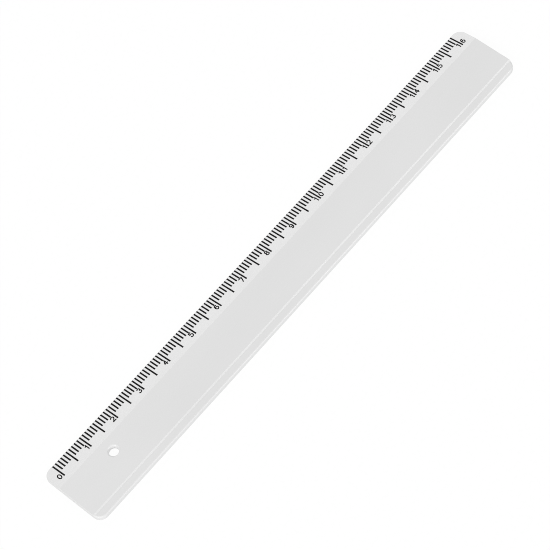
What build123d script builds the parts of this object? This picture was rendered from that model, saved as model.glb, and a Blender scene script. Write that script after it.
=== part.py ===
from build123d import *

import math
import os

# A flat moulded ruler with a printed centimetre scale, in millimetres.
# X runs along the scale from 0 to 16, +Y points to the scale edge, +Z is up.
# The origin is the centre of the underside.

# Driving dimensions of the moulding
SCALE_LENGTH = 160.0  # from the zero mark to the last mark
END_MARGIN = 3.6  # plain plastic beyond the first and the last mark
WIDTH = 20.0  # scale edge to back edge
THICKNESS = 2.0  # flat middle band
SCALE_EDGE_THICKNESS = 0.9  # thin edge that the scale is read along
BEVEL_WIDTH = 6.1  # slope that carries the print, in plan
LEDGE_WIDTH = 2.1  # lowered strip along the back edge
STEP_DEPTH = 0.25
STEP_RUN = 0.4  # width of the slope down to the ledge
CORNER_RADIUS = 2.5  # the four corners, in plan

# Hanging hole
HOLE_RADIUS = 1.35
HOLE_READING = 12.5  # its place along the scale
HOLE_Y = 0.15

# Small radii left by the mould
TOP_EDGE_RADIUS = 0.12
BACK_RIM_RADIUS = 0.5
BOTTOM_EDGE_RADIUS = 0.2
HOLE_RIM_RADIUS = 0.5  # both ends of the hole

# Round witness marks of the ejector pins, sunk into the underside
EJECTOR_RADIUS = 2.0
EJECTOR_DEPTH = 0.06
EJECTOR_READINGS = (30.0, 80.0, 130.0)

# Printed scale: lengths run down the bevel, away from the scale edge
INK_THICKNESS = 0.03
MARK_WIDTH = 0.42
MARK_START = 0.13
SHORT_MARK_END = 2.85
LONG_MARK_END = 4.62
READINGS_PER_HALF = 5
READINGS_PER_CENTIMETRE = 10

# Printed numerals
DIGIT_HEIGHT = 1.68
DIGIT_WIDTH = 1.15
ONE_WIDTH = 0.76  # the figure 1 is narrower than the rest
ONE_SIDE = 0.14  # blank space after its stem
PEN_WIDTH = 0.29
DIGIT_GAP = 0.47  # from the middle of a mark to the digit on either side

# Worked out from the above
LENGTH = SCALE_LENGTH + 2 * END_MARGIN
SCALE_EDGE_Y = WIDTH / 2
BACK_EDGE_Y = -WIDTH / 2
BEVEL_TOP_Y = SCALE_EDGE_Y - BEVEL_WIDTH
STEP_FOOT_Y = BACK_EDGE_Y + LEDGE_WIDTH
STEP_TOP_Y = STEP_FOOT_Y + STEP_RUN
LEDGE_HEIGHT = THICKNESS - STEP_DEPTH
ZERO_X = -SCALE_LENGTH / 2
BEVEL_ANGLE = math.atan2(THICKNESS - SCALE_EDGE_THICKNESS, BEVEL_WIDTH)

# Sloping plane of the print: x is the reading on the scale, y = 0 is the scale edge
BEVEL_PLANE = Plane(
    origin=(ZERO_X, SCALE_EDGE_Y, SCALE_EDGE_THICKNESS),
    x_dir=(1, 0, 0),
    z_dir=(0, math.sin(BEVEL_ANGLE), math.cos(BEVEL_ANGLE)),
)

# The pen follows the middle of a stroke, so its box is smaller than the digit
PEN_RIGHT = DIGIT_WIDTH - PEN_WIDTH
PEN_TOP = DIGIT_HEIGHT - PEN_WIDTH
PEN_MIDDLE = PEN_RIGHT / 2


def near(value, target):
    """True where two coordinates are the same to a micrometre."""
    return abs(value - target) < 0.001


# ---------------------------------------------------------------- moulding


def sharp_bar():
    """The bar with its bevel and its lowered back, before any rounding."""
    profile = Polyline(
        (BACK_EDGE_Y, 0),
        (SCALE_EDGE_Y, 0),
        (SCALE_EDGE_Y, SCALE_EDGE_THICKNESS),
        (BEVEL_TOP_Y, THICKNESS),
        (STEP_TOP_Y, THICKNESS),
        (STEP_FOOT_Y, LEDGE_HEIGHT),
        (BACK_EDGE_Y, LEDGE_HEIGHT),
        close=True,
    )
    return extrude(Plane.YZ * make_face(profile), amount=LENGTH / 2, both=True)


def is_corner(edge):
    """Upright edges at the four corners of the outline."""
    return near(abs(edge.center().Y), WIDTH / 2) and near(edge.tangent_at(0.5).Z ** 2, 1)


def is_top_outline(edge):
    """Outline of the flat and the bevel, down to the top of the slope."""
    centre = edge.center()
    underside = any(near(vertex.Z, 0) for vertex in edge.vertices())
    fold = near(centre.Y, BEVEL_TOP_Y) or near(centre.Y, STEP_TOP_Y)
    return centre.Y > STEP_TOP_Y and not underside and not fold


def is_back_rim(edge):
    """Outline of the lowered ledge: the back edge and its two corners."""
    centre = edge.center()
    heights = [vertex.Z for vertex in edge.vertices()]
    level = near(heights[0], LEDGE_HEIGHT) and near(heights[1], LEDGE_HEIGHT)
    return level and not near(centre.Y, STEP_FOOT_Y)


def hanging_hole(body):
    """Cut the hanging hole and round both of its rims."""
    centre = Pos(ZERO_X + HOLE_READING, HOLE_Y, 0)
    body = body - centre * Cylinder(HOLE_RADIUS, 3 * THICKNESS)
    circles = body.edges().filter_by(GeomType.CIRCLE)
    rims = circles.filter_by(lambda circle: near(circle.radius, HOLE_RADIUS))
    return fillet(rims, HOLE_RIM_RADIUS)


def ejector_marks():
    """Shallow discs that the ejector pins leave in the underside."""
    disc = Cylinder(EJECTOR_RADIUS, 2 * EJECTOR_DEPTH)
    return [Pos(ZERO_X + reading, 0, 0) * disc for reading in EJECTOR_READINGS]


def ruler_body():
    """The one moulding: bar, bevel, ledge, rounded edges and hanging hole."""
    body = sharp_bar()
    body = fillet(body.edges().filter_by(is_corner), CORNER_RADIUS)
    body = fillet(body.edges().filter_by(is_top_outline), TOP_EDGE_RADIUS)
    body = fillet(body.edges().filter_by(is_back_rim), BACK_RIM_RADIUS)
    underside = body.faces().sort_by(Axis.Z)[0]
    body = fillet(underside.outer_wire().edges(), BOTTOM_EDGE_RADIUS)
    body = hanging_hole(body)
    for mark in ejector_marks():
        body = body - mark
    return body


# ---------------------------------------------------------------- printed marks


def ink(shape):
    """Turn a flat drawing on the print plane into a thin film on the bevel."""
    return extrude(BEVEL_PLANE * shape, amount=INK_THICKNESS)


def mark(reading, end):
    """One line of the scale, square to the scale edge."""
    middle = -(MARK_START + end) / 2
    return ink(Pos(reading, middle) * Rectangle(MARK_WIDTH, end - MARK_START))


def marks(readings, end):
    """A group of equal lines."""
    return Compound([solid for reading in readings for solid in mark(reading, end).solids()])


def all_readings():
    """Every millimetre of the scale, both ends included."""
    return range(int(SCALE_LENGTH) + 1)


def millimetre_marks():
    """The short lines."""
    return marks([r for r in all_readings() if r % READINGS_PER_HALF], SHORT_MARK_END)


def half_centimetre_marks():
    """The long lines halfway between two numbers."""
    halves = [r for r in all_readings() if r % READINGS_PER_CENTIMETRE == READINGS_PER_HALF]
    return marks(halves, LONG_MARK_END)


def centimetre_marks():
    """The long lines that carry a number."""
    return marks([r for r in all_readings() if r % READINGS_PER_CENTIMETRE == 0], LONG_MARK_END)


# ---------------------------------------------------------------- numerals


def bowl(x, y, x_radius, y_radius, start, sweep):
    """Elliptical stroke round (x, y), from start through sweep degrees, anticlockwise."""
    return EllipticalCenterArc((x, y), x_radius, y_radius, start, arc_size=sweep)


def straight(*points):
    """Straight stroke through the points, with sharp corners."""
    return Polyline(*points)


def zero():
    """One upright oval."""
    return [bowl(PEN_MIDDLE, PEN_TOP / 2, PEN_MIDDLE, PEN_TOP / 2, 0, 360)]


def one():
    """A stem with a short flag."""
    stem = ONE_WIDTH - ONE_SIDE - PEN_WIDTH
    return [
        straight((stem, -PEN_WIDTH / 2), (stem, PEN_TOP + PEN_WIDTH / 2)),
        straight((-PEN_WIDTH / 2, 0.76 * PEN_TOP), (0.5 * stem, 0.81 * PEN_TOP), (stem, PEN_TOP)),
    ]


def two():
    """A hook that runs down to a flat foot."""
    radius = 0.3 * PEN_TOP
    hook = bowl(PEN_MIDDLE, PEN_TOP - radius, PEN_MIDDLE, radius, 170, -205)
    return [
        hook,
        straight(hook @ 1, (0.02, 0)),
        straight((-PEN_WIDTH / 2, 0), (PEN_RIGHT + PEN_WIDTH / 2, 0)),
    ]


def three():
    """A smaller bowl over a larger one, both open to the left."""
    upper = 0.235 * PEN_TOP
    lower = PEN_TOP / 2 - upper
    return [
        bowl(PEN_MIDDLE, PEN_TOP - upper, 0.42 * PEN_RIGHT, upper, 165, -255),
        bowl(PEN_MIDDLE, lower, PEN_MIDDLE, lower, 90, -255),
    ]


def four():
    """A diagonal and a crossbar against a stem."""
    stem = 0.72 * PEN_RIGHT
    bar = 0.27 * PEN_TOP
    return [
        straight((stem, -PEN_WIDTH / 2), (stem, PEN_TOP + PEN_WIDTH / 2)),
        straight((stem, PEN_TOP), (0, bar)),
        straight((-0.02, bar), (PEN_RIGHT + PEN_WIDTH / 2, bar)),
    ]


def five():
    """A flat top, a short stem and a bowl open to the left."""
    radius = 0.325 * PEN_TOP
    belly = bowl(PEN_MIDDLE, radius, PEN_MIDDLE, radius, 140, -300)
    return [
        straight((0.94 * PEN_RIGHT, PEN_TOP), (0.17 * PEN_RIGHT, PEN_TOP), belly @ 0),
        belly,
    ]


def six():
    """An oval open at the upper right, closed lower down by an arch."""
    gap_end = 42
    arch_foot = -20
    oval = bowl(PEN_MIDDLE, PEN_TOP / 2, PEN_MIDDLE, PEN_TOP / 2, gap_end, 360 + arch_foot - gap_end)
    foot = oval @ 1
    arch = bowl(PEN_MIDDLE, foot.Y, foot.X - PEN_MIDDLE, 0.28 * PEN_TOP, 0, 180)
    return [oval, arch]


def seven():
    """A flat top and a leaning leg."""
    foot = (0.3 * PEN_RIGHT, -PEN_WIDTH / 4)
    knee = (PEN_RIGHT, PEN_TOP - PEN_WIDTH / 4)
    return [
        straight((-PEN_WIDTH / 2, PEN_TOP), (PEN_RIGHT + PEN_WIDTH / 2, PEN_TOP)),
        RadiusArc(knee, foot, 3.2 * PEN_TOP),
    ]


def eight():
    """Two closed bowls, the upper one smaller."""
    upper = 0.24 * PEN_TOP
    lower = PEN_TOP / 2 - upper
    return [
        bowl(PEN_MIDDLE, PEN_TOP - upper, 0.42 * PEN_RIGHT, upper, 0, 360),
        bowl(PEN_MIDDLE, lower, PEN_MIDDLE, lower, 0, 360),
    ]


def nine():
    """A six turned upside down."""
    turn = Pos(PEN_RIGHT, PEN_TOP) * Rot(0, 0, 180)
    return [turn * stroke for stroke in six()]


DIGIT_STROKES = (zero, one, two, three, four, five, six, seven, eight, nine)


def digit(value):
    """Flat digit whose lower left corner is the origin."""
    outline = Sketch()
    for stroke in DIGIT_STROKES[value]():
        outline += trace(stroke, PEN_WIDTH)
    return Pos(PEN_WIDTH / 2, PEN_WIDTH / 2) * outline


def digit_width(value):
    """Printed width of a digit."""
    return ONE_WIDTH if value == 1 else DIGIT_WIDTH


def numeral(number):
    """Placed digits of one number: a lone digit before its mark, a pair round it."""
    mark_x = number * READINGS_PER_CENTIMETRE
    baseline = -LONG_MARK_END
    tens, units = divmod(number, 10)
    first = tens or units
    placed = [Pos(mark_x - DIGIT_GAP - digit_width(first), baseline) * digit(first)]
    if tens:
        placed.append(Pos(mark_x + DIGIT_GAP, baseline) * digit(units))
    return placed


def numerals():
    """All the numbers from 0 to 16."""
    last = int(SCALE_LENGTH) // READINGS_PER_CENTIMETRE
    digits = [shape for number in range(last + 1) for shape in numeral(number)]
    return Compound([solid for shape in digits for solid in ink(shape).solids()])


NODES = {
    "ruler_body": ruler_body,
    "millimetre_marks": millimetre_marks,
    "half_centimetre_marks": half_centimetre_marks,
    "centimetre_marks": centimetre_marks,
    "numerals": numerals,
}

os.makedirs("parts", exist_ok=True)
for name, build in NODES.items():
    node = build()
    node.label = name
    export_step(node, f"parts/{name}.step")
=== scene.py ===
import math

import bpy
from mathutils import Matrix, Vector

MM = 0.001

# Camera: a long lens that looks down on the ruler from its zero end
CAMERA_AIM = (-4.50 * MM, 0.58 * MM, 1.0 * MM)
CAMERA_DISTANCE = 611.86 * MM
CAMERA_AZIMUTH = 39.247  # degrees, 0 looks along +Y
CAMERA_ELEVATION = 61.291
CAMERA_ROLL = -11.776
CAMERA_LENS = 154.814  # millimetres, on a sensor 36 mm wide

# Light: even surroundings, and softboxes behind the ruler, in front of it and at its zero end.
# A softbox stands at an (azimuth, elevation) in degrees and has a (width, height) in metres.
SKY_RADIANCE = 0.525
SKY_SEEN = 1.0  # as the camera sees it, like the floor
SOFTBOX_DISTANCE = 3.0
BACK_PLACE = (202.0, 33.0)
BACK_SIZE = (1.7, 1.7)
BACK_RADIANCE = 2.45
FRONT_PLACE = (-26.0, 25.0)
FRONT_SIZE = (1.3, 2.1)
FRONT_RADIANCE = 2.8
SIDE_PLACE = (66.0, 30.0)
SIDE_SIZE = (3.4, 1.6)
SIDE_RADIANCE = 3.3
PIXEL_FILTER = 0.9  # pixels, for crisp print

# Floor: a lit white sheet just under the ruler
FLOOR_SIZE = 4.0
FLOOR_DROP = 0.02 * MM
FLOOR_GLOW = 0.94  # as the camera sees it, so that the floor stays even
FLOOR_FILL = 0.72  # as the ruler sees it
FLOOR_TONE = 0.06
FLOOR_TOOTH = 0.1  # part of the tone that comes and goes

# Materials: tones are reflectances, (low, high) pairs are ranges over the surface
PLASTIC_TONE = (0.745, 0.755)
PLASTIC_FLOW = (-0.006, 0.006)
PLASTIC_ROUGHNESS = (0.21, 0.29)
PLASTIC_IOR = 1.5
GRAIN_DEPTH = 0.004 * MM
WAVE_DEPTH = 0.02 * MM
INK_TONE = (0.003, 0.009)
INK_ROUGHNESS = (0.5, 0.65)
INK_IOR = 1.45
INK_SPECULAR = 0.15  # matt pigment hardly mirrors the room
MIDDLE = (0.3, 0.7)  # where most of a noise's values lie
UPPER = (0.35, 0.75)

INK_NODES = ("millimetre_marks", "half_centimetre_marks", "centimetre_marks", "numerals")

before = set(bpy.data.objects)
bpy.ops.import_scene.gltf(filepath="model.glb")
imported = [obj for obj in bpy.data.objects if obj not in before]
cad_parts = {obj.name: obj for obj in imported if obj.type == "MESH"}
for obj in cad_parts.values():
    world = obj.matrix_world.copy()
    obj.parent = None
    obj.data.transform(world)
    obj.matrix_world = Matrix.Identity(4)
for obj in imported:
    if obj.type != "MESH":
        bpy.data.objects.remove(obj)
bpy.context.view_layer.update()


# ---------------------------------------------------------------- material tools


class Nodes:
    """Short way to build one material's node tree."""

    def __init__(self, name):
        self.material = bpy.data.materials.new(name)
        self.material.use_nodes = True
        self.tree = self.material.node_tree
        self.tree.nodes.clear()

    def add(self, kind, settings=None, **inputs):
        """A node of this kind.

        Inputs are values, or sockets to link from. _0 is the first input, and Base_Color is the
        one named "Base Color".
        """
        node = self.tree.nodes.new(kind)
        for key, value in (settings or {}).items():
            setattr(node, key, value)
        for key, value in inputs.items():
            by_number = key[0] == "_"
            socket = node.inputs[int(key[1:]) if by_number else key.replace("_", " ")]
            if isinstance(value, bpy.types.NodeSocket):
                self.tree.links.new(value, socket)
            else:
                socket.default_value = value
        return node

    def position(self):
        """Place on the surface, in metres."""
        return self.add("ShaderNodeNewGeometry").outputs["Position"]

    def stretched(self, vector, scale):
        """The position scaled by a different amount along each axis."""
        multiply = {"operation": "MULTIPLY"}
        return self.add("ShaderNodeVectorMath", multiply, _0=vector, _1=scale).outputs[0]

    def noise(self, vector, scale, detail=2.0):
        """Noise of about this many lumps to the metre."""
        node = self.add("ShaderNodeTexNoise", {}, Vector=vector, Scale=scale, Detail=detail)
        return node.outputs["Fac"]

    def remap(self, value, old, new):
        """Linear map from one (low, high) range to another, clamped at both ends."""
        ranges = {"From_Min": old[0], "From_Max": old[1], "To_Min": new[0], "To_Max": new[1]}
        return self.add("ShaderNodeMapRange", {}, Value=value, **ranges).outputs["Result"]

    def plus(self, a, b):
        return self.add("ShaderNodeMath", {"operation": "ADD"}, _0=a, _1=b).outputs[0]

    def bump(self, height, distance, strength, normal=None):
        """Normal tilted by a height, on top of another normal when there is one."""
        node = self.add("ShaderNodeBump", {}, Height=height, Distance=distance, Strength=strength)
        if normal is not None:
            self.tree.links.new(normal, node.inputs["Normal"])
        return node.outputs["Normal"]

    def grey(self, value):
        """A neutral colour from one number."""
        node = self.add("ShaderNodeCombineColor", {}, Red=value, Green=value, Blue=value)
        return node.outputs["Color"]

    def finish(self, shader):
        """The material, with this shader as its surface."""
        self.add("ShaderNodeOutputMaterial", {}, Surface=shader)
        return self.material


# ---------------------------------------------------------------- materials


def white_plastic():
    """Polystyrene straight from the mould: faint flow lines, fine grain and hairline scuffs."""
    n = Nodes("white_plastic")
    place = n.position()
    flow = n.noise(n.stretched(place, (0.25, 1.0, 1.0)), 120.0, 3.0)
    cloud = n.noise(place, 35.0)
    tone = n.plus(n.remap(flow, MIDDLE, PLASTIC_FLOW), n.remap(cloud, MIDDLE, PLASTIC_TONE))
    grain = n.noise(place, 9000.0)
    waves = n.noise(place, 260.0, 1.0)
    normal = n.bump(grain, GRAIN_DEPTH, 0.5)
    normal = n.bump(waves, WAVE_DEPTH, 0.5, normal)
    scuffs = n.noise(n.stretched(place, (1.0, 6.0, 6.0)), 700.0, 4.0)
    shader = n.add(
        "ShaderNodeBsdfPrincipled",
        {},
        Base_Color=n.grey(tone),
        Roughness=n.remap(scuffs, MIDDLE, PLASTIC_ROUGHNESS),
        IOR=PLASTIC_IOR,
        Normal=normal,
    )
    return n.finish(shader.outputs["BSDF"])


def black_ink():
    """Matt ink, a little uneven where it dried on the plastic."""
    n = Nodes("black_ink")
    place = n.position()
    density = n.noise(place, 3500.0, 3.0)
    normal = n.bump(n.noise(place, 12000.0), GRAIN_DEPTH, 0.6)
    shader = n.add(
        "ShaderNodeBsdfPrincipled",
        {},
        Base_Color=n.grey(n.remap(density, UPPER, INK_TONE)),
        Roughness=n.remap(density, MIDDLE, INK_ROUGHNESS),
        IOR=INK_IOR,
        Specular_IOR_Level=INK_SPECULAR,
        Normal=normal,
    )
    return n.finish(shader.outputs["BSDF"])


def floor_material():
    """Lit white paper with a trace of tooth, clear when it is looked at from below."""
    n = Nodes("floor_white")
    tooth = n.noise(n.position(), 900.0, 3.0)
    tones = ((1 - FLOOR_TOOTH) * FLOOR_TONE, (1 + FLOOR_TOOTH) * FLOOR_TONE)
    tone = n.remap(tooth, MIDDLE, tones)
    diffuse = n.add("ShaderNodeBsdfDiffuse", {}, Color=n.grey(tone))
    seen = n.add("ShaderNodeLightPath").outputs["Is Camera Ray"]
    strength = n.remap(seen, (0.0, 1.0), (FLOOR_FILL, FLOOR_GLOW))
    glow = n.add("ShaderNodeEmission", {}, Strength=strength)
    both = n.add("ShaderNodeAddShader", {}, _0=diffuse.outputs[0], _1=glow.outputs[0])
    below = n.add("ShaderNodeNewGeometry").outputs["Backfacing"]
    clear = n.add("ShaderNodeBsdfTransparent")
    shown = n.add("ShaderNodeMixShader", {}, _0=below, _1=both.outputs[0], _2=clear.outputs[0])
    # a lit sheet this close to the ruler is found by scattered rays alone
    n.material.cycles.emission_sampling = "NONE"
    return n.finish(shown.outputs[0])


def paint(node, material):
    """Give a CAD node one material."""
    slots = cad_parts[node].data.materials
    slots.clear()
    slots.append(material)


# ---------------------------------------------------------------- stage


def add_floor():
    """Pale floor just under the ruler."""
    half = FLOOR_SIZE / 2
    corners = [(-half, -half, 0), (half, -half, 0), (half, half, 0), (-half, half, 0)]
    mesh = bpy.data.meshes.new("floor")
    mesh.from_pydata(corners, [], [(0, 1, 2, 3)])
    floor = bpy.data.objects.new("floor", mesh)
    floor.location.z = -FLOOR_DROP
    bpy.context.scene.collection.objects.link(floor)
    mesh.materials.append(floor_material())


def add_sky():
    """Even white surroundings, which the camera sees as bright as the floor."""
    world = bpy.data.worlds.new("studio")
    world.use_nodes = True
    nodes, links = world.node_tree.nodes, world.node_tree.links
    background = nodes["Background"]
    background.inputs["Color"].default_value = (1.0, 1.0, 1.0, 1.0)
    strength = nodes.new("ShaderNodeMapRange")
    strength.inputs["To Min"].default_value = SKY_RADIANCE
    strength.inputs["To Max"].default_value = SKY_SEEN
    links.new(nodes.new("ShaderNodeLightPath").outputs["Is Camera Ray"], strength.inputs["Value"])
    links.new(strength.outputs["Result"], background.inputs["Strength"])
    bpy.context.scene.world = world


def direction(azimuth, elevation):
    """Unit vector from the origin to a place round the ruler; 0 is on the -Y side, 90 on -X."""
    turn = math.radians(azimuth)
    lift = math.radians(elevation)
    reach = math.cos(lift)
    return Vector((-math.sin(turn) * reach, -math.cos(turn) * reach, math.sin(lift)))


def add_softbox(name, place, size, radiance):
    """Flat light that faces the origin."""
    data = bpy.data.lights.new(name, "AREA")
    data.shape = "RECTANGLE"
    data.size, data.size_y = size
    data.energy = radiance * math.pi * data.size * data.size_y
    light = bpy.data.objects.new(name, data)
    away = direction(*place)
    light.location = away * SOFTBOX_DISTANCE
    light.rotation_euler = away.to_track_quat("Z", "Y").to_euler()
    bpy.context.scene.collection.objects.link(light)


def add_camera():
    """Camera on a sphere round its aim point."""
    back = direction(CAMERA_AZIMUTH, CAMERA_ELEVATION)
    right = Vector((0, 0, 1)).cross(back).normalized()
    up = back.cross(right)
    axes = Matrix((right, up, back)).transposed()
    data = bpy.data.cameras.new("camera")
    data.lens = CAMERA_LENS
    camera = bpy.data.objects.new("camera", data)
    roll = Matrix.Rotation(math.radians(CAMERA_ROLL), 4, "Z")
    place = Matrix.Translation(Vector(CAMERA_AIM) + back * CAMERA_DISTANCE)
    camera.matrix_world = place @ axes.to_4x4() @ roll
    bpy.context.scene.collection.objects.link(camera)
    bpy.context.scene.camera = camera


def add_stage():
    """Floor, light and camera."""
    add_floor()
    add_sky()
    add_softbox("back", BACK_PLACE, BACK_SIZE, BACK_RADIANCE)
    add_softbox("front", FRONT_PLACE, FRONT_SIZE, FRONT_RADIANCE)
    add_softbox("side", SIDE_PLACE, SIDE_SIZE, SIDE_RADIANCE)
    add_camera()
    scene = bpy.context.scene
    scene.view_settings.view_transform = "Standard"
    scene.cycles.filter_width = PIXEL_FILTER


# ---------------------------------------------------------------- the ruler

paint("ruler_body", white_plastic())
ink = black_ink()
for ink_node in INK_NODES:
    paint(ink_node, ink)

add_stage()
